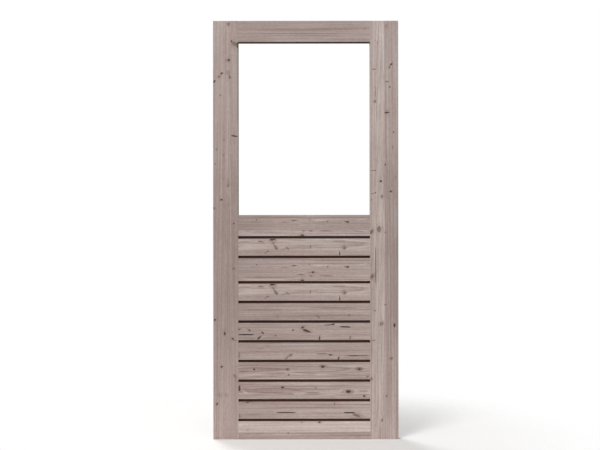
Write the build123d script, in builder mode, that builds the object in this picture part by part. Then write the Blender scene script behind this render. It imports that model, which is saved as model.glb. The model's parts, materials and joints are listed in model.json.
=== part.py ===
# Exterior door leaf in edge-glued softwood: two stiles, three rails, an open window and
# a panel of horizontal boards set apart by shadow gaps.
# Millimetres. The origin is on the hinge edge, at mid height and mid thickness.
# +X runs across the leaf to the lock edge, -Y is the front face and +Z is up.
from build123d import *
import os

# The leaf
leaf_width = 885
leaf_height = 2000
leaf_thickness = 42
arris = 1.5  # chamfer on every edge that a hand can reach

# Stiles, each glued up from staves; the inner stave carries the panel groove
hinge_stile_staves = {"outer": 85, "inner": 35}
lock_stile_staves = {"inner": 30, "middle": 39, "outer": 66}

# Rails, each of an upper and a lower stave
top_rail_staves = {"upper": 35, "lower": 67}
middle_rail_staves = {"upper": 73, "lower": 28}
bottom_rail_lower = 34
window_height = 826

# Boards of the panel, from the top; a wide board has a narrow stave glued along its foot
board_height = 82
wide_board_height = 109
foot_stave_height = 28
board_count = 9
wide_board = 2
split_boards = (1, 2, 3)
gap_height = 12

# Joinery: a tongue along each board's top and ends, and stub tenons on the rails
tongue_thickness = 14
tongue_hold = 10  # how far a tongue enters its groove
tenon_length = 22
tenon_setback = 12  # shoulder left between a tenon and the window
tenon_haunch = 20  # wood left between a tenon and the leaf's top or foot

# Levels and lines worked out from the above
hinge_stile_width = sum(hinge_stile_staves.values())
lock_stile_width = sum(lock_stile_staves.values())
panel_left = hinge_stile_width
panel_right = leaf_width - lock_stile_width
panel_width = panel_right - panel_left
leaf_top = leaf_height / 2
leaf_foot = -leaf_height / 2
window_top = leaf_top - sum(top_rail_staves.values())
window_foot = window_top - window_height
middle_rail_foot = window_foot - sum(middle_rail_staves.values())
face = leaf_thickness / 2


def board_levels():
    """Foot and top of each board, from the top of the panel down."""
    levels = []
    top = middle_rail_foot - gap_height
    for number in range(1, board_count + 1):
        height = wide_board_height if number == wide_board else board_height
        levels.append((top - height, top))
        top -= height + gap_height
    return levels


boards = board_levels()
bottom_rail_top = boards[-1][0] - gap_height
tongue_rise = gap_height + tongue_hold

# Tenons of the rails, as foot and top levels, and the panel groove that joins the lower two
top_tenon = (window_top + tenon_setback, leaf_top - tenon_haunch)
middle_tenon = (middle_rail_foot + tongue_hold, window_foot - tenon_setback)
bottom_tenon = (leaf_foot + tenon_haunch, bottom_rail_top)


def upright(left, right, foot, top, thickness, mode=Mode.ADD):
    """A plain length of stile between two lines and two levels."""
    with BuildSketch(Plane.XY.offset(foot)) as section:
        with Locations(((left + right) / 2, 0)):
            Rectangle(right - left, thickness)
    extrude(section.sketch, amount=top - foot, mode=mode)


def lengthwise(foot, top, thickness, beyond=0, mode=Mode.ADD):
    """A length of rail or board, reaching a given distance into both stiles."""
    with BuildSketch(Plane.YZ.offset(panel_left - beyond)) as section:
        with Locations((0, (foot + top) / 2)):
            Rectangle(thickness, top - foot)
    extrude(section.sketch, amount=panel_width + 2 * beyond, mode=mode)


def ease_level(level):
    """Chamfers the front and back arrises that run along the leaf at one level."""
    arrises = edges().filter_by(Axis.X).filter_by(lambda e: abs(e.center().Z - level) < 0.1)
    chamfer(arrises.filter_by(lambda e: abs(e.center().Y) > face - 0.1), arris)


def ease_window_side(line):
    """Chamfers a stile along the window only; the arris stops at the rails."""
    with BuildSketch(Plane.XY.offset(window_foot)) as corners:
        with Locations((line, face), (line, -face)):
            Rectangle(arris * 2**0.5, arris * 2**0.5, rotation=45)
    extrude(corners.sketch, amount=window_height, mode=Mode.SUBTRACT)


def cut_stile_joints(line, into):
    """Stopped groove for the boards and mortises for the rails, from a stile's inner edge."""
    groove_end = line + into * tongue_hold
    mortise_end = line + into * tenon_length
    upright(*sorted((line, groove_end)), bottom_rail_top, middle_tenon[0],
            tongue_thickness, Mode.SUBTRACT)
    for foot, top in (top_tenon, middle_tenon, bottom_tenon):
        upright(*sorted((line, mortise_end)), foot, top, tongue_thickness, Mode.SUBTRACT)


def stave_lines(start, staves):
    """Left and right line of each stave, set side by side from a starting line."""
    lines = {}
    for place, width in staves.items():
        lines[place] = (start, start + width)
        start += width
    return lines


def make_stile(side, start, staves, outer_line, inner_line, into):
    """The staves of one stile."""
    for place, (left, right) in stave_lines(start, staves).items():
        with BuildPart() as stave:
            upright(left, right, leaf_foot, leaf_top, leaf_thickness)
            ease_level(leaf_top)
            ease_level(leaf_foot)
            if place == "outer":
                upstanding = edges().filter_by(lambda e: abs(e.center().X - outer_line) < 0.1)
                chamfer(upstanding.filter_by(Axis.Z), arris)
            if place == "inner":
                ease_window_side(inner_line)
                cut_stile_joints(inner_line, into)
        stave.part.label = f"{side}_stile_{place}_stave"
        export_step(stave.part, f"parts/{side}_stile_{place}_stave.step")


def make_top_rail():
    """Upper stave with the leaf's top arris, lower stave over the window."""
    seam = leaf_top - top_rail_staves["upper"]
    with BuildPart() as upper:
        lengthwise(seam, leaf_top, leaf_thickness)
        lengthwise(seam, top_tenon[1], tongue_thickness, tenon_length)
        ease_level(leaf_top)
    upper.part.label = "top_rail_upper_stave"
    export_step(upper.part, "parts/top_rail_upper_stave.step")

    with BuildPart() as lower:
        lengthwise(window_top, seam, leaf_thickness)
        lengthwise(top_tenon[0], seam, tongue_thickness, tenon_length)
        ease_level(window_top)
    lower.part.label = "top_rail_lower_stave"
    export_step(lower.part, "parts/top_rail_lower_stave.step")


def make_middle_rail():
    """Upper stave under the window, lower stave grooved for the first board's tongue."""
    seam = window_foot - middle_rail_staves["upper"]
    with BuildPart() as upper:
        lengthwise(seam, window_foot, leaf_thickness)
        lengthwise(seam, middle_tenon[1], tongue_thickness, tenon_length)
        ease_level(window_foot)
    upper.part.label = "middle_rail_upper_stave"
    export_step(upper.part, "parts/middle_rail_upper_stave.step")

    with BuildPart() as lower:
        lengthwise(middle_rail_foot, seam, leaf_thickness)
        lengthwise(middle_tenon[0], seam, tongue_thickness, tenon_length)
        lengthwise(middle_rail_foot, middle_tenon[0], tongue_thickness, mode=Mode.SUBTRACT)
        ease_level(middle_rail_foot)
    lower.part.label = "middle_rail_lower_stave"
    export_step(lower.part, "parts/middle_rail_lower_stave.step")


def make_bottom_rail():
    """Upper stave with the tongue that holds the last board, lower stave on the foot."""
    seam = leaf_foot + bottom_rail_lower
    with BuildPart() as upper:
        lengthwise(seam, bottom_rail_top, leaf_thickness)
        lengthwise(seam, bottom_tenon[1], tongue_thickness, tenon_length)
        lengthwise(seam, bottom_rail_top + tongue_rise, tongue_thickness, tongue_hold)
        ease_level(bottom_rail_top)
    upper.part.label = "bottom_rail_upper_stave"
    export_step(upper.part, "parts/bottom_rail_upper_stave.step")

    with BuildPart() as lower:
        lengthwise(leaf_foot, seam, leaf_thickness)
        lengthwise(bottom_tenon[0], seam, tongue_thickness, tenon_length)
        ease_level(leaf_foot)
    lower.part.label = "bottom_rail_lower_stave"
    export_step(lower.part, "parts/bottom_rail_lower_stave.step")


def make_board(name, foot, top, has_groove, has_tongue):
    """A board, or one stave of it: tongues at both ends, and along the top where it has one."""
    core_foot = foot + tongue_hold if has_groove else foot
    core_top = top + tongue_rise if has_tongue else top
    with BuildPart() as board:
        lengthwise(foot, top, leaf_thickness)
        lengthwise(core_foot, core_top, tongue_thickness, tongue_hold)
        if has_groove:
            lengthwise(foot, core_foot, tongue_thickness, mode=Mode.SUBTRACT)
            ease_level(foot)
        if has_tongue:
            ease_level(top)
    board.part.label = name
    export_step(board.part, f"parts/{name}.step")


def make_panel():
    """All the boards, the split ones as a main stave over a foot stave."""
    for number, (foot, top) in enumerate(boards, start=1):
        name = f"board_{number}"
        if number in split_boards:
            seam = foot + foot_stave_height
            make_board(f"{name}_main_stave", seam, top, False, True)
            make_board(f"{name}_foot_stave", foot, seam, True, False)
        else:
            make_board(name, foot, top, True, True)


os.makedirs("parts", exist_ok=True)
make_stile("hinge", 0, hinge_stile_staves, 0, panel_left, -1)
make_stile("lock", panel_right, lock_stile_staves, leaf_width, panel_right, 1)
make_top_rail()
make_middle_rail()
make_bottom_rail()
make_panel()
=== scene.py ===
import json
import math
import random

import bmesh
import bpy
import numpy as np
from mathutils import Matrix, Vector
from mathutils.geometry import delaunay_2d_cdt


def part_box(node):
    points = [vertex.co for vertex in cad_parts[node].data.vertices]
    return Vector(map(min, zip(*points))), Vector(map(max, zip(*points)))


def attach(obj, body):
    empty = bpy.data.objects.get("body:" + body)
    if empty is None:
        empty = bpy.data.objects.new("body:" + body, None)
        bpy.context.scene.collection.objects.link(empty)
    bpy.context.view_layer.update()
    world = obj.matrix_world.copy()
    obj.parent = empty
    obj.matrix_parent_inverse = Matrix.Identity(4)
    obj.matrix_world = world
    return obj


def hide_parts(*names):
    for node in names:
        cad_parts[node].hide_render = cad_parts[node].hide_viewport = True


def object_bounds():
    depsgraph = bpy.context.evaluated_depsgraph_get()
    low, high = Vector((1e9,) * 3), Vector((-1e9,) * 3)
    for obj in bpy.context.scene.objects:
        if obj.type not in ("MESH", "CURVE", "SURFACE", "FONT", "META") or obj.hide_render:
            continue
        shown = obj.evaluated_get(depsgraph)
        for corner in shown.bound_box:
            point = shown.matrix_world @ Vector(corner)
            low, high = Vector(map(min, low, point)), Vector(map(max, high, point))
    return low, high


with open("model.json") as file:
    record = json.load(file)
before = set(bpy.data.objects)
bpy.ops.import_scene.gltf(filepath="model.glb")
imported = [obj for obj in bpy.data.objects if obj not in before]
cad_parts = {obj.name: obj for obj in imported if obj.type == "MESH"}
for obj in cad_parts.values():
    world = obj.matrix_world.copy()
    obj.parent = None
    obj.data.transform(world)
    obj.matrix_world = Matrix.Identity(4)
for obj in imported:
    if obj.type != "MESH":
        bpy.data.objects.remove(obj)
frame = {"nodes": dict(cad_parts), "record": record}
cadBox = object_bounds()
nodes = frame["nodes"]
slotOfNode = {part["node"]: part["material_slot"] for part in frame["record"]["subparts"]}

mm = 0.001
leafLow, leafHigh = Vector(cadBox[0]), Vector(cadBox[1])
leafMiddle = (leafLow.x + leafHigh.x) / 2
faceDepth = leafHigh.y  # the front is at -faceDepth, the back at +faceDepth
arris = 1.5 * mm  # a face this near to the outside belongs to it, as a chamfer does
weld = 0.01 * mm  # corners closer than this are one
hingeReveal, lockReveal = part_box("hinge_stile_inner_stave")[1].x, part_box("lock_stile_inner_stave")[0].x
windowLow = Vector((hingeReveal, leafLow.y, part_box("middle_rail_upper_stave")[1].z))
windowHigh = Vector((lockReveal, leafHigh.y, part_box("top_rail_lower_stave")[0].z))
print("frame loaded:", len(nodes), "staves and boards")


# sRGB hex to the linear colour that the shaders take
def hexToLinear(code):
    parts = [int(code[i:i + 2], 16) / 255 for i in (1, 3, 5)]
    return [p / 12.92 if p <= 0.04045 else ((p + 0.055) / 1.055) ** 2.4 for p in parts] + [1.0]


# adds one node. inputs are values, sockets or nodes, as a list from the first one on or by name
# or number. A node stands for its first output in use. settings are its own properties.
def addNode(tree, kind, inputs=(), **settings):
    node = tree.nodes.new(kind)
    for name, value in settings.items():
        setattr(node, name, value)
    for key, value in (inputs if isinstance(inputs, dict) else dict(enumerate(inputs))).items():
        if isinstance(value, bpy.types.Node):
            value = next(socket for socket in value.outputs if socket.enabled)
        if isinstance(value, bpy.types.NodeSocket):
            tree.links.new(value, node.inputs[key])
        else:
            node.inputs[key].default_value = value
    return node


# the node tree of a material or the sky, with nothing in it
def emptyTree(owner):
    owner.use_nodes = True
    owner.node_tree.nodes.clear()
    return owner.node_tree


def addObject(name, data):
    item = bpy.data.objects.new(name, data)
    bpy.context.scene.collection.objects.link(item)
    return item


# Marks in the timber, read off the photograph and set down in millimetres: kind, x from the
# hinge edge, z from mid height, length, width, and the length's slope in degrees if it has one.
# dead: black loose knot. live: brown sound knot. grey: knot with mould round it.
# check: drying crack. smear: brown stain along a buried branch. ring and bright: one dark or pale
# line of the grain. ghost, faint and pale: soft patches.
boardPattern = [
    ("smear", 152, -57, 76, 4), ("live", 229, -55, 24, 5, -4), ("dead", 285, -45, 26, 9),
    ("smear", 294, -75, 52, 7, -57), ("live", 301, -86, 24, 6, 123), ("smear", 356, -88, 32, 5, -42),
    ("ghost", 464.6, -77, 38, 5.5, 90), ("ring", 597, -54, 76, 5), ("live", 628, -87, 11, 8, 60),
    ("faint", 627, -84, 24, 18, 60), ("faint", 623, -76, 46, 28, 60), ("pale", 205, -76, 190, 22),
    ("pale", 400, -62, 120, 14),
]
footPattern = [
    ("dead", 263, -101, 8, 3.5), ("ring", 252, -107, 32, 8, 26), ("dead", 604.5, -112, 30, 4.2, 90),
]
railPattern = [
    ("dead", 208, 49, 5, 4), ("live", 389, 45, 26, 6, 3), ("ghost", 460, 49, 18, 12),
    ("bright", 508, 47, 80, 7), ("ring", 526, 39, 34, 3), ("dead", 547, 39, 5.5, 3.5),
    ("dead", 643, 38, 12, 6.5), ("smear", 633, 40, 18, 5), ("bright", 712, 50, 66, 6, 8),
    ("ring", 200, 39, 76, 4), ("faint", 268, 30, 52, 5), ("ring", 338, 36, 40, 4),
    ("faint", 700, 22, 90, 7, -14),
]
twinDrop = 215  # mm down to a twin, sawn from beside a stave and with its figure


# a stave's marks on its twin
def lowered(pattern):
    return [(kind, x, z - twinDrop, *rest) for kind, x, z, *rest in pattern]


marks = {
    "hinge_stile_outer_stave": [
        ("live", 75, 984, 10, 9, 80), ("ghost", 73, 984, 24, 14, 90), ("dead", 76, 812, 12.5, 8.5, 50),
        ("ghost", 66, 812, 24, 18), ("dead", 42, 749, 11.5, 7, 40), ("live", 30, 734, 15.5, 6.5, 48),
        ("dead", 6, 710, 14.5, 8, 55), ("live", 80.5, 732, 16, 7, 90), ("dead", 82, 727, 8, 5, 60),
        ("ghost", 72, 752, 34, 24, 90), ("dead", 35, 644, 4.5, 4), ("smear", 52, 430, 9, 7, 90),
        ("live", 17, 386, 7.5, 4.5, 80), ("ring", 50, 358, 24, 6, 85), ("smear", 10, 316, 13, 5, 90),
        ("live", 72, 213, 11.5, 7, 70), ("ghost", 72, 232, 60, 12, 90), ("dead", 39, 145, 10.5, 7.5, 10),
        ("dead", 4, 104, 10.5, 6, 90), ("ghost", 73, 123, 18, 10, 90), ("dead", 8, -429, 11.5, 7, 20),
        ("dead", 55, -493, 18.5, 6.5, 88), ("dead", 40, -653, 13.5, 6.5, 30), ("ghost", 30, -788, 30, 22),
        ("ghost", 62, -788, 28, 20), ("dead", 18, -831, 13.5, 6.5, 65), ("live", 21, -993, 5.5, 4),
    ],
    "hinge_stile_inner_stave": [
        # the last mark on the next line, a black streak down the window's corner from the head, is a
        # branch stain and in part painted shade of the reveal
        ("dead", 88, 902, 9.5, 7, -60), ("live", 103, 890, 28, 14, 143), ("dead", 116, 881, 36, 5.5, -90),
        ("faint", 88, 656, 12, 6, 90), ("faint", 88, 581, 12, 6, 90), ("dead", 104, 449, 34.5, 6, -9),
        ("dead", 99, 31, 7, 5), ("live", 97, -184, 11.5, 6.5), ("dead", 93, -519, 10.5, 6.5, -10),
        ("live", 103, -526, 20.5, 4.5, -20), ("smear", 104, -697, 30, 8, -45),
        ("ghost", 112, -720, 40, 14, -60),
    ],
    "lock_stile_inner_stave": [
        ("ghost", 775, 905, 14, 8, 60), ("live", 768, 768, 22.5, 3), ("dead", 774, 768, 5, 4),
        ("check", 776, 656, 66, 1.4, 88), ("live", 774, 614, 11, 8, 60), ("live", 763, 284, 24.5, 2.8, 4),
        ("dead", 776, 284, 4.5, 4), ("dead", 776, 178, 4.5, 4), ("live", 765, 175, 20, 3.2, 18),
        ("ghost", 757, 145, 18, 12, 90), ("live", 757, -9, 24, 12, 62), ("dead", 757, -9, 10, 6.5, 62),
        ("check", 776.5, -168, 180, 2.6, 90), ("live", 758, -223, 22, 14, 60),
        ("dead", 773, -386, 4.5, 4), ("live", 768, -528, 12, 4.5, 8), ("grey", 756, -712, 12, 8, 90),
        ("ghost", 773, -934, 10, 8), ("ghost", 757, -560, 200, 10, 90),
    ],
    "lock_stile_middle_stave": [
        ("faint", 788, 884, 30, 16, 80), ("ghost", 784, 896, 12, 6, 60), ("faint", 800, 470, 60, 8, 90),
        ("dead", 802, 233, 10.5, 8.5), ("grey", 807, 160, 12.5, 8, 80), ("grey", 792, 3, 25, 15, 88),
        ("faint", 792, 3, 90, 16, 90), ("faint", 792, -193, 12, 10), ("grey", 804, -449, 16.5, 11.5, 45),
        ("faint", 798, -472, 34, 9, 80), ("live", 807, -908, 15, 6, 75), ("pale", 800, 50, 330, 20, 90),
        ("pale", 808, 600, 500, 16, 90), ("pale", 796, -760, 260, 14, 90),
    ],
    "lock_stile_outer_stave": [
        ("ghost", 827, 973, 30, 20, 90), ("dead", 852, 791, 12.5, 7.5, 50),
        ("live", 845, 779, 14.5, 5.5, 60), ("live", 832, 709, 22.5, 3), ("dead", 845, 683, 6.5, 4.5, 90),
        ("dead", 832, 561, 27, 5.5, 4), ("dead", 863, 468, 7, 4, 80), ("ring", 858, 394, 22, 7, 90),
        ("dead", 822, 313, 11, 4.5, 90), ("faint", 826, 313, 50, 14, 90), ("ghost", 873, 253, 24, 12, 90),
        ("dead", 849, 184, 10, 8), ("live", 822, -12, 14.5, 4), ("dead", 822, -357, 6.5, 4.5),
        ("dead", 866, -455, 17.5, 8, 88), ("live", 851, -614, 11.5, 8, 20), ("dead", 852, -614, 5, 4, 20),
        ("live", 828, -794, 10, 6.5, 80), ("faint", 850, -540, 60, 12, 90),
    ],
    "top_rail_upper_stave": [("faint", 300, 976, 320, 5), ("faint", 560, 990, 300, 6)],
    "top_rail_lower_stave": [
        ("ring", 585, 961, 330, 4.5), ("live", 725, 961, 6, 3), ("ring", 440, 952, 640, 5.5),
        ("bright", 430, 946, 600, 3.5), ("ring", 430, 940, 620, 5.5), ("ring", 400, 928, 560, 5),
        ("faint", 300, 912, 300, 4), ("pale", 420, 905, 620, 9),
    ],
    "middle_rail_upper_stave": railPattern + [("ring", 300, 62, 360, 6)],
    "middle_rail_lower_stave": [
        ("live", 433, -3, 13.5, 4.5), ("live", 467, -4, 15.5, 4.5, -10), ("smear", 541, -4, 78, 4),
        ("bright", 566, -1, 70, 3.5), ("dead", 426, -27, 16, 10), ("bright", 250, -24, 280, 7),
        ("ghost", 270, -11, 300, 7), ("bright", 708, -2, 86, 6, -6), ("ring", 700, -7, 76, 4, -6),
    ],
    "board_1_main_stave": boardPattern,
    "board_1_foot_stave": footPattern,
    "board_2_main_stave": lowered(railPattern) + [
        ("dead", 477, -202, 9.5, 7.5, 30), ("ghost", 462, -204, 26, 9, 10), ("live", 422, -213, 34, 4),
    ],
    "board_2_foot_stave": [
        ("live", 469, -219, 14.5, 4, -8), ("smear", 541, -219, 78, 4), ("dead", 426, -242, 16, 10),
        ("bright", 250, -238, 280, 7), ("ring", 270, -226, 300, 6), ("bright", 708, -217, 86, 6, -6),
    ],
    "board_3_main_stave": lowered(boardPattern),
    "board_3_foot_stave": lowered(footPattern),
    "board_4": [
        ("ring", 230, -381, 240, 6), ("ring", 560, -372, 300, 6), ("ghost", 308, -411, 20, 13, 60),
        ("dead", 497, -411, 4.5, 4), ("dead", 505, -417, 5.5, 5), ("dead", 649, -407, 5.5, 4.5),
    ],
    "board_5": [
        ("check", 556, -453, 56, 3.6, 2), ("dead", 574, -450, 12, 5, 30),
        ("check", 631, -463, 54, 5.6, -2), ("dead", 428, -465, 16.5, 7, 28),
        ("dead", 125, -474, 20, 4.5, 6), ("dead", 173, -478, 9.5, 5.5, -40),
        ("ghost", 163, -472, 24, 7, -20), ("dead", 382, -478, 10.5, 4.5, 4),
        ("dead", 448, -482, 44.5, 9, -22), ("dead", 237, -492, 17, 6, -40),
        ("check", 156, -499.8, 78, 5.0), ("live", 297, -503, 10, 4.5, 90),
        ("dead", 220, -514, 26.5, 7, 44), ("dead", 508, -515, 21, 5.5, 82),
        ("smear", 654, -515, 24, 8, 80),
    ],
    "board_6": [
        ("check", 521, -592, 56, 2.2), ("live", 371, -597, 17, 7, 32), ("live", 354, -609, 28.5, 5, 40),
        ("dead", 562, -597, 22, 5.5), ("check", 690, -601, 110, 2.2), ("check", 672, -601, 46, 3.6),
        ("dead", 599, -612, 17.5, 6, 72), ("ghost", 224, -568, 60, 6), ("ghost", 208, -579, 70, 6, -4),
        ("ghost", 264, -553, 48, 5, 3), ("smear", 123, -598, 40, 8, 90), ("faint", 640, -562, 120, 8),
    ],
    "board_7": [
        ("dead", 523, -653, 18, 9.5), ("ghost", 523, -653, 64, 30), ("dead", 195, -665, 10, 8.5),
        ("dead", 355, -665, 8.5, 7.5), ("dead", 698, -665, 13.5, 8.5), ("ghost", 698, -665, 46, 24),
        ("dead", 360, -692, 6.5, 5.5), ("live", 737, -701, 14, 5.5), ("pale", 190, -690, 150, 9, 3),
        ("bright", 400, -687, 150, 6, -4), ("ghost", 141, -675, 50, 10), ("faint", 285, -664, 130, 5),
        ("ring", 230, -699, 210, 4.5), ("ghost", 622, -690, 80, 8), ("bright", 520, -690, 110, 7, 2),
        ("bright", 420, -710, 600, 6),
    ],
    "board_8": [
        ("pale", 420, -736, 640, 15), ("dead", 124, -755, 26.5, 11.5, 85), ("dead", 331, -752, 11, 9),
        ("dead", 489, -753, 4, 4), ("dead", 645, -772, 22.5, 13), ("ghost", 656, -774, 56, 26),
        ("dead", 721, -794, 12, 7.5), ("pale", 158, -778, 60, 10, -22), ("ring", 272, -775, 172, 4.5),
        ("ring", 408, -768, 84, 4.5, -8), ("smear", 476, -777, 90, 5, -2), ("ring", 230, -784, 90, 4),
        ("ring", 372, -784, 34, 4.5), ("bright", 404, -783, 104, 5.5), ("pale", 556, -785, 124, 9),
        ("pale", 682, -776, 44, 9, -32), ("smear", 716, -770, 60, 4.5, -3),
    ],
    "board_9": [
        ("dead", 164, -822, 17, 6), ("dead", 580, -830, 12.5, 2.5, 90), ("check", 347, -872.2, 96, 4.4),
        ("check", 649, -873, 56, 5), ("live", 686, -887, 48, 8, -28), ("live", 126, -887, 15, 6.5, 90),
        ("ghost", 190, -882, 110, 10, 2), ("ring", 430, -846, 560, 6),
    ],
    "bottom_rail_upper_stave": [
        ("dead", 507, -918, 11.5, 7), ("smear", 422, -919, 16, 5), ("pale", 440, -940, 580, 30),
        ("ghost", 164, -956, 26, 11, 15),
    ],
    "bottom_rail_lower_stave": [("faint", 167, -968, 18, 9), ("live", 358, -970, 7, 5)],
}

# How each stave was cut: pith is where the tree's heart lay, across the stave and in front of its
# middle, in mm. drift is how far the heart wanders, in mm a metre. ring is the width of a year's
# growth in mm, and figure how strongly the late wood shows. light is the tone at places along the
# stave in mm: some lie nearer to white sapwood and some were rained on more.
cuts = {
    "hinge_stile_outer_stave": {
        "pith": (-120, 60), "drift": (9, 5), "ring": 4.4, "figure": 0.36,
        "light": {1000: 1.06, 650: 1.0, 400: 0.99, 100: 0.8, -550: 0.8, -720: 0.89, -1000: 0.88},
    },
    "hinge_stile_inner_stave": {
        "pith": (260, 60), "drift": (-6, 4), "ring": 4.2, "figure": 0.34,
        "light": {1000: 0.92, 620: 0.96, 400: 0.86, 200: 0.74, 0: 0.74, -400: 0.79, -1000: 0.88},
    },
    "lock_stile_inner_stave": {
        "pith": (690, 50), "drift": (5, 8), "ring": 4.4, "figure": 0.8,
        "light": {1000: 1.08, 800: 1.17, 500: 1.14, 330: 1.01, 0: 1.1, -300: 0.93, -1000: 1.1},
    },
    "lock_stile_middle_stave": {
        "pith": (802, 64), "drift": (6, 21), "ring": 5.2, "figure": 0.7,
        "light": {1000: 1.26, 700: 1.14, 350: 1.06, 200: 1.18, 50: 1.13, -400: 1.08, -1000: 0.93},
    },
    "lock_stile_outer_stave": {
        "pith": (985, 40), "drift": (-8, 6), "ring": 4.6, "figure": 0.75,
        "light": {1000: 1.27, 620: 1.24, 200: 1.07, -400: 1.06, -1000: 1.26},
    },
    "top_rail_upper_stave": {
        "pith": (1090, 40), "drift": (3, 5), "ring": 4.2, "figure": 0.6,
        "light": {120: 0.83, 400: 0.82, 750: 0.88},
    },
    "top_rail_lower_stave": {
        "pith": (820, 30), "drift": (-3, 4), "ring": 5.4, "figure": 0.95,
        "light": {120: 1.08, 750: 1.22},
    },
    "middle_rail_upper_stave": {
        "pith": (140, 50), "drift": (8, 9), "ring": 4.8, "figure": 0.95,
        "light": {120: 0.8, 200: 0.88, 300: 1.04, 540: 0.98, 750: 0.9},
    },
    "middle_rail_lower_stave": {
        "pith": (-90, 40), "drift": (-4, 6), "ring": 4.6, "figure": 0.8,
        "light": {120: 1.13, 750: 1.26},
    },
    "board_1_main_stave": {
        "pith": (-70, 90), "drift": (6, 14), "ring": 4.6, "figure": 0.7,
        "light": {120: 1.04, 300: 0.9, 440: 1.04, 750: 1.09},
    },
    "board_1_foot_stave": {
        "pith": (-190, 40), "drift": (-6, 6), "ring": 4.2, "figure": 0.6,
        "light": {120: 0.93, 320: 0.89, 440: 1.07, 750: 1.23},
    },
    "board_2_main_stave": {
        "pith": (-80, 50), "drift": (8, 9), "ring": 4.8, "figure": 0.95,
        "light": {120: 0.87, 280: 1.04, 750: 1.06},
    },
    "board_2_foot_stave": {
        "pith": (-310, 40), "drift": (-4, 6), "ring": 4.6, "figure": 0.8,
        "light": {120: 0.93, 300: 0.96, 750: 1.26},
    },
    "board_4": {
        "pith": (-300, 45), "drift": (5, 6), "ring": 5.2, "figure": 0.75,
        "light": {120: 0.81, 420: 0.85, 750: 1.02},
    },
    "board_5": {
        "pith": (-560, 60), "drift": (-9, 10), "ring": 4.6, "figure": 0.7,
        "light": {120: 0.87, 420: 1.0, 750: 1.12},
    },
    "board_6": {
        "pith": (-520, 60), "drift": (12, 8), "ring": 4.6, "figure": 0.7,
        "light": {120: 0.84, 300: 0.9, 750: 1.01},
    },
    "board_7": {
        "pith": (-672, 44), "drift": (14, 13), "ring": 6.0, "figure": 1.05,
        "light": {120: 0.91, 300: 0.84, 430: 0.83, 540: 0.95, 750: 1.09},
    },
    "board_8": {
        "pith": (-768, 52), "drift": (-8, -17), "ring": 6.4, "figure": 1.15,
        "light": {120: 0.89, 300: 0.87, 540: 0.96, 750: 1.16},
    },
    "board_9": {
        "pith": (-770, 50), "drift": (6, 9), "ring": 4.6, "figure": 0.8,
        "light": {120: 0.85, 300: 0.98, 750: 1.06},
    },
    "bottom_rail_upper_stave": {
        "pith": (-900, 90), "drift": (4, 12), "ring": 4.2, "figure": 0.5,
        "light": {120: 1.1, 300: 1.05, 750: 1.24},
    },
    "bottom_rail_lower_stave": {
        "pith": (-1060, 40), "drift": (3, 4), "ring": 4.6, "figure": 1.0,
        "light": {120: 1.0, 300: 1.07, 750: 1.15},
    },
}
for part in ("main_stave", "foot_stave"):  # board 3 is the twin of board 1
    twin = cuts["board_1_" + part]
    across, depth = twin["pith"]
    cuts["board_3_" + part] = {**twin, "pith": (across - twinDrop, depth)}

# kinds of knot as age (0 sound and brown, 1 dead and black) and mould, and of soft patch
knotLook = {"live": (0.0, 0.0), "dead": (1.0, 0.0), "grey": (0.55, 1.0)}
patchLook = {"ghost": 1.0, "faint": 0.45, "ring": 1.35, "smear": 2.4, "pale": -1.0, "bright": -1.3}
softEnds = ("ghost", "faint", "pale")  # patches that also fade out along the grain

# The form of a mark, and how the grain gives way to a knot.
markForm = {
    "slender": 2.2,  # a knot so many times longer than wide is a branch cut at a slant
    "taper": 0.5,  # and it narrows by this share
    "knotLean": (2, 7),  # mm that a mark wanders on its way to the back
    "softLean": (20, 45),
    "softEnd": 1.6,  # how soon a soft patch ends along the grain
    "lineEnd": 3.0,  # and a line
    "fade": 0.9,  # how fast both fade away from their middle
    "pullWide": 0.7,  # the grain meets a stone of part the knot's width and part its length
    "pullLong": 0.3,
    "pullAhead": 1.8,
    "swerve": 0.85,
    "bulge": 0.9,
}

# How finely the faces are divided, so that each mark has its own vertices. Bare numbers count in
# reaches of the mark: 1 is its rim.
refining = {
    "gridAlong": 26 * mm,  # plain mesh between the marks
    "gridAcross": 13 * mm,
    "gridClear": 2.3,  # and none nearer to a mark than this
    "edgeStep": 26 * mm,  # between the vertices of an outline
    "edgeNearMark": 2.2 * mm,
    "nearKnot": 2.8,  # how far round a mark the edges are split more finely
    "nearCheck": 1.6,
    "knotRings": (0.35, 0.7, 1.0, 1.3, 1.9, 2.8, 4.0),
    "knotSteps": 16,  # vertices in a ring
    "slenderSteps": 24,
    "checkRows": (-1.6, -1.0, -0.5, 0.0, 0.5, 1.0, 1.6),
    "checkStep": 4 * mm,
    "softRows": (-2.1, -1.2, -0.6, 0.0, 0.6, 1.2, 2.1),
    "softStep": 9 * mm,
    "fewestSteps": 8,
    "rowEnd": 1.15,  # how far the rows run, in half lengths of the mark
    "softRowEnd": 1.6,
    "margin": 0.5 * mm,  # no vertex closer than this to the outline
    "far": 9.0,  # the reach where there is no mark
}


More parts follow.
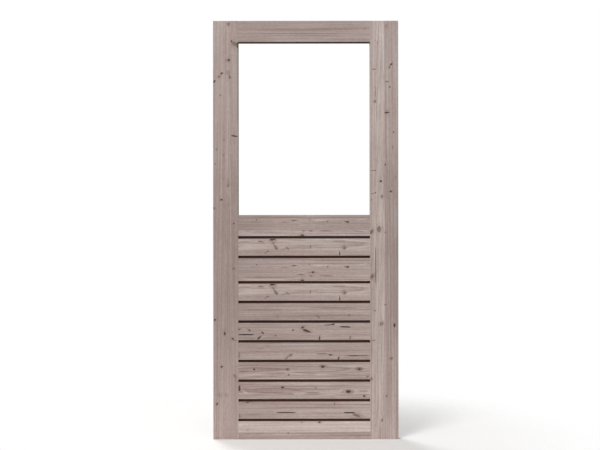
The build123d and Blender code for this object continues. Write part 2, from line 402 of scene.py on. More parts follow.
# a mark's numbers in metres, leaning a little through the thickness as a branch does
class Mark:
    def __init__(self, draw, kind, x, z, long, wide, turn=0):
        isKnot = kind in knotLook
        self.kind = kind
        self.centre = np.array((x, z)) * mm
        self.half = long / 2 * mm
        self.reach = wide / 2 * mm
        self.slender = long > markForm["slender"] * wide
        self.taper = markForm["taper"] if isKnot and self.slender else 0.0
        self.way = np.array((math.cos(math.radians(turn)), math.sin(math.radians(turn))))
        lean = draw.uniform(0, 2 * math.pi)
        shift = draw.uniform(*markForm["knotLean" if isKnot else "softLean"]) * mm
        self.lean = np.array((math.cos(lean), math.sin(lean))) * shift

    # how far places lie from the mark's middle, at a depth from 0 at the front to 1 at the back
    def offset(self, x, z, depth):
        dx = x - self.centre[0] - self.lean[0] * depth
        dz = z - self.centre[1] - self.lean[1] * depth
        return dx, dz

    # half the mark's width at a place along it: a branch cut at a slant narrows to one end
    def widthAt(self, along):
        return self.reach * (1 - self.taper * np.clip(along / self.half, -0.4, 1))

    # 1 is the mark's rim, and beyond it the value grows by the distance in reaches
    def reaches(self, x, z, depth):
        dx, dz = self.offset(x, z, depth)
        along = dx * self.way[0] + dz * self.way[1]
        across = dz * self.way[0] - dx * self.way[1]
        a, c = along / self.half, across / self.widthAt(along)
        if self.kind in softEnds:
            return np.sqrt(c ** 2 + markForm["softEnd"] * a ** 2)
        if self.kind in patchLook:
            return np.sqrt(c ** 2 + markForm["lineEnd"] * a ** 4)
        if self.kind == "check":
            return np.sqrt(c ** 2 + a ** 4)
        round_ = np.hypot(a, c)
        return np.where(round_ < 1, round_, 1 + (round_ - 1) * self.stretch(a / (round_ + 1e-9)))

    # how much further than its reach a knot runs in the direction with this cosine
    def stretch(self, cosine):
        return np.sqrt((self.half / self.reach * cosine) ** 2 + 1 - np.clip(cosine, -1, 1) ** 2)

    # rings of vertices round a knot, as places along and across it
    def ringPlaces(self):
        steps = refining["slenderSteps"] if self.slender else refining["knotSteps"]
        places = []
        for ring in refining["knotRings"]:
            for step in range(steps):
                angle = 2 * math.pi * (step + 0.5) / steps
                size = ring if ring < 1 else 1 + (ring - 1) / self.stretch(math.cos(angle))
                along = self.half * size * math.cos(angle)
                places.append((along, self.widthAt(along) * size * math.sin(angle)))
        return places

    # rows of vertices along a check or a patch
    def rowPlaces(self):
        isCheck = self.kind == "check"
        rows, step = ("checkRows", "checkStep") if isCheck else ("softRows", "softStep")
        end = refining["softRowEnd"] if self.kind in softEnds else refining["rowEnd"]
        count = max(refining["fewestSteps"], math.ceil(2 * end * self.half / refining[step]))
        places = []
        for i in range(count + 1):
            t = end * (2 * i / count - 1)
            swell = math.sqrt(max(1 - t ** 4, 0.0)) if isCheck else 1.0
            places += [(self.half * t, self.reach * row * swell) for row in refining[rows]]
        return places

    # all the vertices that the mark needs on a face
    def points(self, depth):
        places = self.ringPlaces() if self.kind in knotLook else self.rowPlaces()
        x, z = self.centre + self.lean * depth
        cos, sin = self.way
        return [(x + a * cos - c * sin, z + a * sin + c * cos) for a, c in places + [(0.0, 0.0)]]


# How far the faces have greyed: hidden wood stays brown, at 0. Below 0 is painted shade, which darkens
# the wood toward black under the head. The hinge reveal holds painted shade too: darkest just below the
# head and browner than the lock reveal further down, given by the distance below the head.
weatheringAndShade = {
    "faces": 1.0, "grooves": 0.0, "windowHead": -1.0, "windowSill": 1.0, "lockReveal": 1.0,
    "hingeReveal": ((0.0, -1.0), (60 * mm, 0.05), (420 * mm, 0.45)),
}


# the CAD node as whole flat faces again, but cut where the weathering and painted shade change
def wholeFaces(node):
    bm = bmesh.new()
    bm.from_mesh(node.data)
    bmesh.ops.remove_doubles(bm, verts=bm.verts, dist=weld)
    bmesh.ops.dissolve_limit(
        bm, angle_limit=math.radians(1), verts=bm.verts, edges=bm.edges, use_dissolve_boundaries=False
    )
    levels = [windowLow.z] + [windowHigh.z - below for below, _ in weatheringAndShade["hingeReveal"]]
    for level in levels:
        bmesh.ops.bisect_plane(
            bm, geom=bm.verts[:] + bm.edges[:] + bm.faces[:],
            plane_co=(0, 0, level), plane_no=(0, 0, 1), dist=weld
        )
    return bm


# places along an edge where it is split, closer together beside a knot or check
def splitPlaces(start, end, own, depth):
    length = (end - start).length
    count = max(1, round(length / refining["edgeStep"]))
    places = {i / count for i in range(1, count)}
    fine = max(1, round(length / refining["edgeNearMark"]))
    t = np.arange(1, fine) / fine
    x = start.x + (end.x - start.x) * t
    z = start.z + (end.z - start.z) * t
    for mark in own:
        limit = refining["nearKnot" if mark.kind in knotLook else "nearCheck"]
        if mark.kind not in patchLook:
            places |= set(t[mark.reaches(x, z, depth) < limit])
    return sorted(places)


# splits the edges round a face, but for the short ones at its corners
def splitOutline(bm, face, own, depth):
    for edge in list(face.edges):
        here, there = edge.verts
        start, end = here.co.copy(), there.co.copy()
        if (end - start).length < refining["edgeStep"] / 4:
            continue
        for place in splitPlaces(start, end, own, depth):
            _, corner = bmesh.utils.edge_split(edge, here, 0.5)
            corner.co = start.lerp(end, place)
            edge = next(e for e in corner.link_edges if e.other_vert(corner) is there)
            here = corner


# the places that lie inside an outline and not too near it
def insideOutline(places, outline):
    places = np.array(places)
    inside = np.zeros(len(places), bool)
    near = np.full(len(places), np.inf)
    for a, b in zip(outline, np.roll(outline, -1, axis=0)):
        crosses = (a[1] > places[:, 1]) != (b[1] > places[:, 1])
        with np.errstate(divide="ignore", invalid="ignore"):
            at = (b[0] - a[0]) * (places[:, 1] - a[1]) / (b[1] - a[1]) + a[0]
        inside ^= crosses & (places[:, 0] < at)
        side = b - a
        t = np.clip(((places - a) @ side) / max(side @ side, 1e-12), 0, 1)
        near = np.minimum(near, np.linalg.norm(places - a - t[:, None] * side, axis=1))
    return places[inside & (near > refining["margin"])]


# the vertices inside a face: an even grid where there is no mark, and what the marks need
def innerPlaces(outline, own, depth, upright):
    stepX, stepZ = refining["gridAlong"], refining["gridAcross"]
    if upright:
        stepX, stepZ = stepZ, stepX
    low, high = outline.min(0), outline.max(0)
    gridX, gridZ = np.meshgrid(
        np.arange(low[0] + stepX / 2, high[0], stepX), np.arange(low[1] + stepZ / 2, high[1], stepZ)
    )
    free = np.full(gridX.shape, True)
    for mark in own:
        free &= mark.reaches(gridX, gridZ, depth) > refining["gridClear"]
    places = list(zip(gridX[free], gridZ[free]))
    for mark in own:
        places += mark.points(depth)
    return insideOutline(places, outline)


# gives a flat face the vertices that its marks need, and turns it into triangles
def refineFace(bm, face, own, depth, upright):
    splitOutline(bm, face, own, depth)
    corners = [loop.vert for loop in face.loops]
    outline = np.array([(v.co.x, v.co.z) for v in corners])
    y = corners[0].co.y
    inner = innerPlaces(outline, own, depth, upright)
    flat = [Vector(p) for p in outline] + [Vector(p) for p in inner]
    rim = list(range(len(corners)))
    spots, _, triangles, sources, _, _ = delaunay_2d_cdt(flat, [], [rim], 1, 1e-6)
    front = face.normal.y < 0
    bmesh.ops.delete(bm, geom=[face], context="FACES_ONLY")
    vertOf = []
    for spot, source in zip(spots, sources):
        known = [s for s in source if s < len(corners)]
        vertOf.append(corners[known[0]] if known else bm.verts.new((spot.x, y, spot.y)))
    for a, b, c in triangles:
        p, q, r = (spots[i] for i in (a, b, c))
        leftTurn = (q - p).cross(r - p) > 0
        order = (a, b, c) if leftTurn == front else (a, c, b)
        bm.faces.new([vertOf[i] for i in order])


# how near the knots and checks are, with each knot's age and mould, and how strong the patches
def markFacts(own, x, z, depth):
    knot = np.tile((refining["far"], 0.0, 0.0), (len(x), 1))
    check = np.full(len(x), refining["far"])
    patch = np.zeros(len(x))
    for mark in own:
        reaches = mark.reaches(x, z, depth)
        if mark.kind == "check":
            check = np.minimum(check, reaches)
        elif mark.kind in patchLook:
            patch += patchLook[mark.kind] * np.exp(-markForm["fade"] * reaches ** 2)
        else:
            nearer = reaches < knot[:, 0]
            knot[nearer, 0] = reaches[nearer]
            knot[nearer, 1:] = knotLook[mark.kind]
    return knot, check, patch


# the grain parts round a knot as a stream does, and the rings bulge over it
def partedGrain(own, x, z, depth, upright):
    swerve = np.zeros(len(x))
    bulge = np.zeros(len(x))
    for mark in own:
        if mark.kind in knotLook:
            size = markForm["pullWide"] * mark.reach + markForm["pullLong"] * mark.half
            dx, dz = mark.offset(x, z, depth)
            off, ahead = (dx, dz) if upright else (dz, dx)
            far = np.hypot(off / size, ahead / (markForm["pullAhead"] * size))
            pull = 1 / np.maximum(far, 1) ** 2
            swerve += off * pull * markForm["swerve"]
            bulge += size * pull * markForm["bulge"]
    return swerve, bulge


# the weathering and painted shade of a face by its middle, at a corner of the given height
def weatheringAndShadeOf(place, height):
    inside = all(leafLow[i] + arris <= place[i] <= leafHigh[i] - arris for i in (0, 2))
    if abs(place.y) > faceDepth - arris or not inside:
        return weatheringAndShade["faces"]
    if not all(windowLow[i] - arris < place[i] < windowHigh[i] + arris for i in (0, 2)):
        return weatheringAndShade["grooves"]
    if place.z > windowHigh.z - arris:
        return weatheringAndShade["windowHead"]
    if place.z < windowLow.z + arris:
        return weatheringAndShade["windowSill"]
    if place.x > leafMiddle:
        return weatheringAndShade["lockReveal"]
    return np.interp(windowHigh.z - height, *zip(*weatheringAndShade["hingeReveal"]))


# stores what the pine needs to know of each vertex, and of each face its weathering and painted shade
def storeFacts(mesh, name, own, upright):
    co = np.zeros(len(mesh.vertices) * 3)
    mesh.vertices.foreach_get("co", co)
    x, y, z = co.reshape(-1, 3).T
    depth = (y + faceDepth) / (2 * faceDepth)
    along, across = (z, x) if upright else (x, z)
    knot, check, patch = markFacts(own, x, z, depth)
    swerve, bulge = partedGrain(own, x, z, depth, upright)
    cut = cuts[name]
    acrossPith, depthPith = cut["pith"]
    acrossDrift, depthDrift = cut["drift"]
    timber = np.column_stack((
        along,
        across - swerve - acrossPith * mm - acrossDrift * mm * along,
        y - bulge + depthPith * mm + depthDrift * mm * along,
    ))
    places, tones = zip(*sorted(cut["light"].items()))
    light = np.interp(along / mm, places, tones)
    stave = np.column_stack((np.full_like(x, cut["ring"] * mm), light, np.full_like(x, cut["figure"])))
    for title, values in (("timber", timber), ("knot", knot), ("stave", stave)):
        mesh.attributes.new(title, "FLOAT_VECTOR", "POINT").data.foreach_set("vector", values.ravel())
    for title, values in (("check", check), ("patch", patch)):
        mesh.attributes.new(title, "FLOAT", "POINT").data.foreach_set("value", values)
    # greying of each face corner, with painted shade below 0
    greyingAndShade = mesh.attributes.new("greyingAndShade", "FLOAT", "CORNER")
    greyingAndShade.data.foreach_set("value", [
        weatheringAndShadeOf(polygon.center, z[corner]) for polygon in mesh.polygons for corner in polygon.vertices
    ])


print("marks placed:", sum(len(m) for m in marks.values()))


# Pine, heat treated and planed, then greyed by the weather. Heat turns it brown through and
# through, and rain and sun bleach the faces to a matt grey brown, with darker late wood.
pineTones = {
    "greyed_pine_pale": {"early": "#b4a39d", "late": "#8d7771"},
    "greyed_pine_mid": {"early": "#ab9993", "late": "#816963"},
    "greyed_pine_dark": {"early": "#a3918b", "late": "#795f59"},
}
pineLook = {
    "brownEarly": "#573428",  # wood in the grooves, never bleached
    "brownLate": "#38201a",
    "silver": "#a8a39e",  # where rain has washed the brown out
    # a near-black ink for painted shade under the window's head and high on the hinge reveal
    "paintedShade": "#241611",  # under the window's head
    "patchBrown": "#785a50",
    "patchPale": "#c9bab3",
    "halo": "#82645a",
    "knotLive": "#7f6a62",
    "knotDead": "#4c3229",
    "knotMould": "#8a8278",
    "knotRim": "#2a1914",
    "check": "#20120e",
    "roughness": 0.78,
    "knotRoughness": 0.62,
    "greying": (0.84, 1.0, 1.05),  # lighter wood is also greyer: red falls behind as the tone rises
    "washed": (260 * mm, 34 * mm, 3.0),  # length, width and detail
    "patchRings": 0.9,  # how much stronger a patch is on the late wood
    "raggedness": 4 * mm,
    "raggedBy": 0.7,  # in reaches of the knot
    "knotRings": 17.0,  # radians a reach
    "knotShades": (0.75, 1.25),
    "knotCrack": 11 * mm,
    "ringDepth": 0.25 * mm,
    "bumpStrength": 0.6,
    "fibreHeight": 0.45,  # late wood stands 1 proud
    "knotHeight": -0.8,
}
# Noises of the tone along the grain: length, width, detail and swing.
grainLook = {
    "streak": (900 * mm, 8 * mm, 5.0, 0.56),
    "line": (700 * mm, 4.2 * mm, 1.0, 0.38),
    "blotch": (300 * mm, 130 * mm, 4.0, 0.22),
    "mottle": (15 * mm, 6 * mm, 2.0, 0.22),
    "fibre": (40 * mm, 0.9 * mm, 3.0, 0.26),
}
grainRoughness = 0.62
# The years' growth: dark late wood ends each year with a sharp edge.
ringLook = {
    "waver": (450 * mm, 70 * mm, 3.0),  # the rings waver slowly: length, width and detail
    "waverBy": 7 * mm,
    "yearScale": 0.21,  # how soon good years follow bad ones
    "yearSwing": 3.0,
    "yearEnd": 0.25,
    "season": ((0.12, 0.0), (0.5, 0.12), (0.86, 0.9), (0.95, 1.0)),
    "lateWood": {1: 0.3, 2: 0.7, 3: 0.95, 4: 0.3},  # strong in bad years, weak in good ones
}
# Where each layer of colour sets in: none of it at the first value of what it follows, the most
# at the second, and how much that is.
pineLayers = {
    "washed": (0.48, 0.72, 0.24),
    # painted shade, at its full where the greying value reaches -1
    "paintedShade": (0.0, -1.0, 0.8),
    "patchBrown": (0.02, 1.1, 0.75),
    "patchPale": (0.02, 1.1, 0.75),
    "outerHalo": (4.6, 1.2, 0.25),
    "innerHalo": (2.6, 1.2, 0.35),
    "crack": (0.05, 0.015, 0.8),
    "bark": (1.0, 1.25, 1.0),
    "knot": (1.5, 1.25, 1.0),
    "check": (1.2, 0.8, 1.0),
}


# the facts stored on the mesh, each as a socket
def readFacts(tree):
    stored = {}
    for name in ("timber", "knot", "stave", "check", "patch", "greyingAndShade"):
        stored[name] = addNode(tree, "ShaderNodeAttribute", attribute_name=name).outputs
    knot = addNode(tree, "ShaderNodeSeparateXYZ", [stored["knot"]["Vector"]]).outputs
    stave = addNode(tree, "ShaderNodeSeparateXYZ", [stored["stave"]["Vector"]]).outputs
    return {
        "timber": stored["timber"]["Vector"],
        "reach": knot[0], "age": knot[1], "mould": knot[2],
        "ring": stave[0], "light": stave[1], "figure": stave[2],
        **{name: stored[name]["Fac"] for name in ("check", "patch", "greyingAndShade")},
    }


# noise drawn out along the grain
def grainNoise(tree, timber, length, width, detail):
    stretch = (1 / length, 1 / width, 1 / width)
    at = addNode(tree, "ShaderNodeVectorMath", [timber, stretch], operation="MULTIPLY")
    return addNode(tree, "ShaderNodeTexNoise", {
        "Vector": at, "Scale": 1.0, "Detail": detail, "Roughness": grainRoughness})


# growth rings: the distance from the heart of the tree, in years that differ in width
def growthRings(tree, facts):
    look = ringLook
    timber = facts["timber"]
    waver = grainNoise(tree, timber, *look["waver"])
    waverBy = addNode(tree, "ShaderNodeMapRange", {0: waver, 3: -look["waverBy"], 4: look["waverBy"]})
    flat = addNode(tree, "ShaderNodeVectorMath", [timber, (0.0, 1.0, 1.0)], operation="MULTIPLY")
    fromHeart = addNode(tree, "ShaderNodeVectorMath", [flat], operation="LENGTH")
    radius = addNode(tree, "ShaderNodeMath", [fromHeart, waverBy])
    years = addNode(tree, "ShaderNodeMath", [radius, facts["ring"]], operation="DIVIDE")
    good = addNode(tree, "ShaderNodeTexNoise", {
        "W": years, "Scale": look["yearScale"], "Detail": 2.0}, noise_dimensions="1D")
    uneven = addNode(tree, "ShaderNodeMath", [good, look["yearSwing"], years], operation="MULTIPLY_ADD")
    season = addNode(tree, "ShaderNodeMath", [uneven], operation="FRACT")
    ramp = addNode(tree, "ShaderNodeValToRGB", [season])
    stops = ramp.color_ramp.elements
    for stop in stops:
        stop.color = (look["yearEnd"], look["yearEnd"], look["yearEnd"], 1)
    for position, value in look["season"]:
        stops.new(position).color = (value, value, value, 1)
    strength = addNode(tree, "ShaderNodeMapRange", {0: good, **look["lateWood"]})
    return addNode(tree, "ShaderNodeMath", [ramp, strength], operation="MULTIPLY")


# how much there is of one of the pine's layers
def shareOf(tree, layer, follows):
    start, full, most = pineLayers[layer]
    return addNode(tree, "ShaderNodeMapRange", {
        0: follows, 1: start, 2: full, 4: most}, interpolation_type="SMOOTHSTEP")


# lays one of the pine's layers over a colour
def layOver(tree, under, layer, follows, ink):
    share = shareOf(tree, layer, follows)
    return addNode(tree, "ShaderNodeMix", {0: share, 6: under, 7: ink}, data_type="RGBA")


# bare wood, bleached on the faces and brown in the grooves
def bareWood(tree, facts, inks, late):
    lateShown = addNode(tree, "ShaderNodeMath", [late, facts["figure"]], operation="MULTIPLY")
    bleached = addNode(tree, "ShaderNodeMix", {
        0: lateShown, 6: inks["early"], 7: inks["late"]}, data_type="RGBA")
    washed = grainNoise(tree, facts["timber"], *pineLook["washed"])
    bleached = layOver(tree, bleached, "washed", washed, inks["silver"])
    brown = addNode(tree, "ShaderNodeMix", {
        0: late, 6: inks["brownEarly"], 7: inks["brownLate"]}, data_type="RGBA")
    return addNode(tree, "ShaderNodeMix", {0: facts["greyingAndShade"], 6: brown, 7: bleached}, data_type="RGBA")


# the stave's own tone, lighter and darker along the grain, more so where the figure is strong
def tintWood(tree, facts, wood, noise):
    shade = facts["light"]
    busy = addNode(tree, "ShaderNodeMath", [facts["figure"], 0.5, 0.5], operation="MULTIPLY_ADD")
    for key, grain in noise.items():
        share = busy if key in ("streak", "line") else 1.0
        swing = addNode(tree, "ShaderNodeMath", [share, grainLook[key][3]], operation="MULTIPLY")
        darkest = addNode(tree, "ShaderNodeMath", [1.0, swing], operation="SUBTRACT")
        lightest = addNode(tree, "ShaderNodeMath", [1.0, swing])
        lighter = addNode(tree, "ShaderNodeMapRange", {0: grain, 3: darkest, 4: lightest})
        shade = addNode(tree, "ShaderNodeMath", [shade, lighter], operation="MULTIPLY")
    tint = addNode(tree, "ShaderNodeVectorMath", [shade, pineLook["greying"]], operation="POWER")
    return addNode(tree, "ShaderNodeVectorMath", [wood, tint], operation="MULTIPLY")


# soft patches, which keep to the rings
def layPatches(tree, facts, inks, wood, late, fibre):
    broken = addNode(tree, "ShaderNodeMath", [
        late, pineLook["patchRings"], fibre], operation="MULTIPLY_ADD")
    for layer, sign in (("patchBrown", 1.0), ("patchPale", -1.0)):
        part = addNode(tree, "ShaderNodeMath", [facts["patch"], sign], operation="MULTIPLY")
        part = addNode(tree, "ShaderNodeMath", [part, broken], operation="MULTIPLY")
        wood = layOver(tree, wood, layer, part, inks[layer])
    return wood


# the wood inside a knot: its own rings, a dark rim of bark if it is dead, and cracks
def knotWood(tree, facts, inks, place, rim):
    look = pineLook
    wave = addNode(tree, "ShaderNodeMath", [rim, look["knotRings"]], operation="MULTIPLY")
    wave = addNode(tree, "ShaderNodeMath", [wave], operation="SINE")
    darkest, lightest = look["knotShades"]
    shade = addNode(tree, "ShaderNodeMapRange", {0: wave, 1: -1.0, 3: darkest, 4: lightest})
    wood = addNode(tree, "ShaderNodeMix", {
        0: facts["age"], 6: inks["knotLive"], 7: inks["knotDead"]}, data_type="RGBA")
    wood = addNode(tree, "ShaderNodeMix", {
        0: facts["mould"], 6: wood, 7: inks["knotMould"]}, data_type="RGBA")
    wood = addNode(tree, "ShaderNodeVectorMath", {0: wood, "Scale": shade}, operation="SCALE")
    bark = shareOf(tree, "bark", rim)
    bark = addNode(tree, "ShaderNodeMath", [bark, facts["age"]], operation="MULTIPLY")
    wood = addNode(tree, "ShaderNodeMix", {0: bark, 6: wood, 7: inks["knotRim"]}, data_type="RGBA")
    cells = addNode(tree, "ShaderNodeTexVoronoi", {
        "Vector": place, "Scale": 1 / look["knotCrack"]}, feature="DISTANCE_TO_EDGE")
    return layOver(tree, wood, "crack", cells.outputs["Distance"], inks["knotRim"])


# late wood stands a little proud, fibres roughen the rest, and knots are hollow and smoother
def finishPine(tree, wood, late, fibre, inKnot):
    look = pineLook
    height = addNode(tree, "ShaderNodeMath", [
        fibre, look["fibreHeight"], late], operation="MULTIPLY_ADD")
    height = addNode(tree, "ShaderNodeMath", [
        inKnot, look["knotHeight"], height], operation="MULTIPLY_ADD")
    bump = addNode(tree, "ShaderNodeBump", {
        "Strength": look["bumpStrength"], "Distance": look["ringDepth"], "Height": height})
    matt = addNode(tree, "ShaderNodeMapRange", {
        0: inKnot, 3: look["roughness"], 4: look["knotRoughness"]})
    shader = addNode(tree, "ShaderNodeBsdfPrincipled", {
        "Base Color": wood, "Roughness": matt, "IOR": 1.5, "Normal": bump})
    addNode(tree, "ShaderNodeOutputMaterial", {"Surface": shader})


def makeGreyedPine(title, tone):
    look = {**pineLook, **tone}
    inks = {key: hexToLinear(code) for key, code in look.items() if isinstance(code, str)}
    material = bpy.data.materials.new(title)
    tree = emptyTree(material)
    facts = readFacts(tree)
    late = growthRings(tree, facts)
    noise = {key: grainNoise(tree, facts["timber"], *grain[:3]) for key, grain in grainLook.items()}
    wood = bareWood(tree, facts, inks, late)
    wood = tintWood(tree, facts, wood, noise)
    # painted shade: where the greying value falls below 0 the wood is darkened toward black
    wood = layOver(tree, wood, "paintedShade", facts["greyingAndShade"], inks["paintedShade"])
    wood = layPatches(tree, facts, inks, wood, late, noise["fibre"])

    # knots have a ragged rim, and stain the wood about them
    place = addNode(tree, "ShaderNodeTexCoord").outputs["Object"]
    ragged = addNode(tree, "ShaderNodeTexNoise", {
        "Vector": place, "Scale": 1 / look["raggedness"], "Detail": 3.0})
    rim = addNode(tree, "ShaderNodeMath", [
        ragged, look["raggedBy"], facts["reach"]], operation="MULTIPLY_ADD")
    for layer in ("outerHalo", "innerHalo"):
        wood = layOver(tree, wood, layer, rim, inks["halo"])
    inKnot = shareOf(tree, "knot", rim)
    inside = knotWood(tree, facts, inks, place, rim)
    wood = addNode(tree, "ShaderNodeMix", {0: inKnot, 6: wood, 7: inside}, data_type="RGBA")
    wood = layOver(tree, wood, "check", facts["check"], inks["check"])
    finishPine(tree, wood, late, noise["fibre"], inKnot)
    return material


pineOfSlot = {title: makeGreyedPine(title, tone) for title, tone in pineTones.items()}
print("pine mixed:", ", ".join(pineOfSlot))


# Knots and checks have shrunk below the planed face. The tree lowers the faces there, along the
# leaf's thickness only, and gives the whole stave its finish.
settling = {"Knot hollow": 0.5 * mm, "Check depth": 3.0 * mm, "Planer ripple": 0.06 * mm, "Seed": 7}
rippleScale = 9.0  # waves a metre
seedStep = 3.7  # how far apart the ripples of two seeds lie in the noise
hollowFrom, hollowTo = 1.05, 0.6  # reaches of a knot between which the face falls
settlingInputs = {
    "Geometry": "Geometry", "Knot hollow": "Float", "Check depth": "Float", "Planer ripple": "Float",
    "Seed": "Int", "Finish": "Material",
}


def makeSettlingTree():
    tree = bpy.data.node_groups.new("settleTimber", "GeometryNodeTree")
    for name, kind in settlingInputs.items():
        tree.interface.new_socket(name, in_out="INPUT", socket_type="NodeSocket" + kind)
    tree.interface.new_socket("Geometry", in_out="OUTPUT", socket_type="NodeSocketGeometry")
    given = addNode(tree, "NodeGroupInput").outputs
    knot = addNode(tree, "GeometryNodeInputNamedAttribute", {"Name": "knot"}, data_type="FLOAT_VECTOR")
    check = addNode(tree, "GeometryNodeInputNamedAttribute", {"Name": "check"}, data_type="FLOAT")
    reach = addNode(tree, "ShaderNodeSeparateXYZ", [knot])
    knotSink = addNode(tree, "ShaderNodeMapRange", {
        0: reach, 1: hollowFrom, 2: hollowTo, 4: given["Knot hollow"]}, interpolation_type="SMOOTHSTEP")
    checkSink = addNode(tree, "ShaderNodeMapRange", {0: check, 1: 1.0, 2: 0.0, 4: given["Check depth"]})
    seedTurn = addNode(tree, "ShaderNodeMath", [given["Seed"], seedStep], operation="MULTIPLY")
    ripple = addNode(tree, "ShaderNodeTexNoise", {
        "W": seedTurn, "Scale": rippleScale, "Detail": 1.0}, noise_dimensions="4D")
    rippleSink = addNode(tree, "ShaderNodeMath", [ripple, given["Planer ripple"]], operation="MULTIPLY")
    deeper = addNode(tree, "ShaderNodeMath", [knotSink, checkSink], operation="MAXIMUM")
    sink = addNode(tree, "ShaderNodeMath", [deeper, rippleSink])
    normal = addNode(tree, "GeometryNodeInputNormal")
    facing = addNode(tree, "ShaderNodeSeparateXYZ", [normal]).outputs["Y"]
    inward = addNode(tree, "ShaderNodeMath", [sink, facing], operation="MULTIPLY")
    inward = addNode(tree, "ShaderNodeMath", [inward, -1.0], operation="MULTIPLY")
    offset = addNode(tree, "ShaderNodeCombineXYZ", {"Y": inward})
    moved = addNode(tree, "GeometryNodeSetPosition", {"Geometry": given["Geometry"], "Offset": offset})
    real = addNode(tree, "GeometryNodeRealizeInstances", {"Geometry": moved})
    finished = addNode(tree, "GeometryNodeSetMaterial", {"Geometry": real, "Material": given["Finish"]})
    addNode(tree, "NodeGroupOutput", {"Geometry": finished})
    return tree


settlingTree = makeSettlingTree()
sockets = settlingTree.interface.items_tree
socketOf = {item.name: item.identifier for item in sockets if item.in_out == "INPUT"}


# runs the tree on a piece and keeps its result as a plain mesh
def settle(piece, finish):
    modifier = piece.modifiers.new("settle", "NODES")
    modifier.node_group = settlingTree
    for name, value in settling.items():
        modifier[socketOf[name]] = value
    modifier[socketOf["Finish"]] = finish
    bpy.context.view_layer.update()
    graph = bpy.context.evaluated_depsgraph_get()
    mesh = bpy.data.meshes.new_from_object(
        piece.evaluated_get(graph), preserve_all_data_layers=True, depsgraph=graph
    )
    piece.modifiers.clear()
    piece.data = mesh
    mesh.name = piece.name


sharpAngle = math.radians(28)  # edges blunter than this are shaded smooth


# the CAD node again, with its own timber
def dressStave(name, node, draw):
    upright = "stile" in name
    own = [Mark(draw, *numbers) for numbers in marks[name]]
    bm = wholeFaces(node)
    bm.normal_update()
    for side, depth in ((-1, 0.0), (1, 1.0)):
        outer = faceDepth - arris / 2
        wide = [
            face for face in bm.faces
            if face.normal.y * side > 0.99 and face.calc_center_median().y * side > outer
        ]
        for face in wide:
            refineFace(bm, face, own, depth, upright)
    bm.normal_update()
    mesh = bpy.data.meshes.new(name + "_timber")
    bm.to_mesh(mesh)
    bm.free()
    mesh.attributes.remove(mesh.attributes["custom_normal"])
    storeFacts(mesh, name, own, upright)
    piece = addObject(name + "_timber", mesh)
    settle(piece, pineOfSlot[slotOfNode[name]])
    piece.data.polygons.foreach_set("use_smooth", [True] * len(piece.data.polygons))
    piece.data.set_sharp_from_angle(angle=sharpAngle)
    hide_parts(name)
    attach(piece, "root")
    return piece


draw = random.Random(2018)
pieces = [dressStave(name, nodes[name], draw) for name in sorted(nodes)]
print("timber dressed:", len(pieces), "pieces,", sum(len(p.data.polygons) for p in pieces), "faces")


# Floor of the studio: pale matt board that fades out, so that no horizon shows
floorLook = {"size": 3.2, "colour": "#f2f1ef", "roughness": 0.9, "fadeFrom": 0.5, "fadeTo": 1.5}


def makeFloor():
    material = bpy.data.materials.new("pale_floor")
    tree = emptyTree(material)
    place = addNode(tree, "ShaderNodeTexCoord").outputs["Object"]
    away = addNode(tree, "ShaderNodeVectorMath", [
        place, (leafMiddle, 0.0, leafLow.z)], operation="DISTANCE")
    fade = addNode(tree, "ShaderNodeMapRange", [
        away, floorLook["fadeFrom"], floorLook["fadeTo"]], interpolation_type="SMOOTHSTEP")
    matt = addNode(tree, "ShaderNodeBsdfPrincipled", {
        "Base Color": hexToLinear(floorLook["colour"]), "Roughness": floorLook["roughness"]})
    clear = addNode(tree, "ShaderNodeBsdfTransparent")
    mixed = addNode(tree, "ShaderNodeMixShader", [fade, matt, clear])
    addNode(tree, "ShaderNodeOutputMaterial", {"Surface": mixed})
    half = floorLook["size"] / 2
    corners = [
        (leafMiddle + a * half, b * half, leafLow.z) for a, b in ((-1, -1), (1, -1), (1, 1), (-1, 1))
    ]
    mesh = bpy.data.meshes.new("studio_floor")
    mesh.from_pydata(corners, [], [(0, 1, 2, 3)])
    mesh.materials.append(material)
    floor = addObject("studio_floor", mesh)


# Camera level with the leaf's middle and 4.6 m off, as the photo has it
cameraLook = {"distance": 4.595, "x": 0.415, "z": 0.024, "roll": 0.064, "lens": 57.7, "sensor": 36.0}


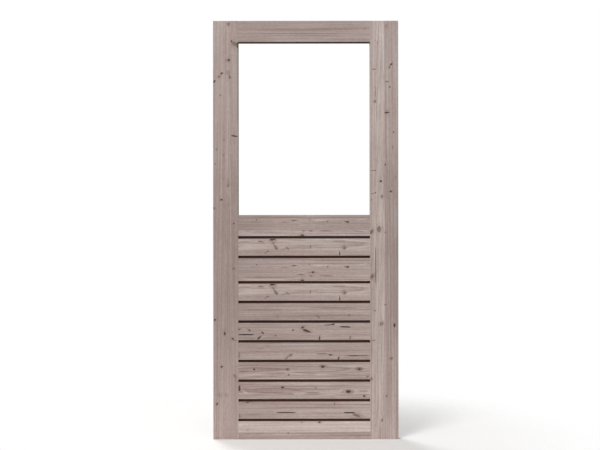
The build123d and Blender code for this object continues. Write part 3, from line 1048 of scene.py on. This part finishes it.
def makeCamera():
    data = bpy.data.cameras.new("camera")
    data.lens = cameraLook["lens"]
    data.sensor_width = cameraLook["sensor"]
    camera = addObject("camera", data)
    camera.location = (cameraLook["x"], leafLow.y - cameraLook["distance"], cameraLook["z"])
    camera.rotation_euler = (math.radians(90), math.radians(cameraLook["roll"]), 0.0)
    bpy.context.scene.camera = camera


# Soft light from the upper left, and a sky that is bright to that side and dim below
lightLook = {
    "key": {"at": (-3.8, -6.8, 5.2), "size": 4.4, "power": 565.0},
    "fill": {"at": (0.0, -6.0, 0.2), "size": 2.5, "power": 24.0},
    "back": {"at": (-3.2, 6.4, 4.2), "size": 4.4, "power": 380.0},
    "aim": (leafMiddle, 0.0, 0.0),
    "skyWay": (-0.45, -0.35, 0.82),
    "skyBright": 0.63,
    "skyDim": 0.09,
    "brightFrom": 0.8,
    "dimTo": -0.5,
}


def makeLight(name):
    settings = lightLook[name]
    data = bpy.data.lights.new(name, "AREA")
    data.shape = "DISK"
    data.size = settings["size"]
    data.energy = settings["power"]
    light = addObject(name, data)
    light.location = settings["at"]
    aim = Vector(lightLook["aim"]) - Vector(settings["at"])
    light.rotation_euler = aim.to_track_quat("-Z", "Y").to_euler()


# the sky only lights the leaf: the camera sees plain white
def makeSky():
    world = bpy.data.worlds.new("studio_sky")
    tree = emptyTree(world)
    way = addNode(tree, "ShaderNodeTexCoord").outputs["Generated"]
    up = addNode(tree, "ShaderNodeVectorMath", [way, lightLook["skyWay"]], operation="DOT_PRODUCT")
    level = addNode(tree, "ShaderNodeMapRange", [
        up, lightLook["dimTo"], lightLook["brightFrom"], lightLook["skyDim"], lightLook["skyBright"]])
    sky = addNode(tree, "ShaderNodeBackground", {"Color": (1, 1, 1, 1), "Strength": level})
    white = addNode(tree, "ShaderNodeBackground", {"Color": (1, 1, 1, 1), "Strength": 1.0})
    seen = addNode(tree, "ShaderNodeLightPath").outputs["Is Camera Ray"]
    mixed = addNode(tree, "ShaderNodeMixShader", [seen, sky, white])
    addNode(tree, "ShaderNodeOutputWorld", {"Surface": mixed})
    bpy.context.scene.world = world


makeFloor()
makeCamera()
for name in ("key", "fill", "back"):
    makeLight(name)
makeSky()
bpy.context.scene.view_settings.view_transform = "Standard"
print("studio set")
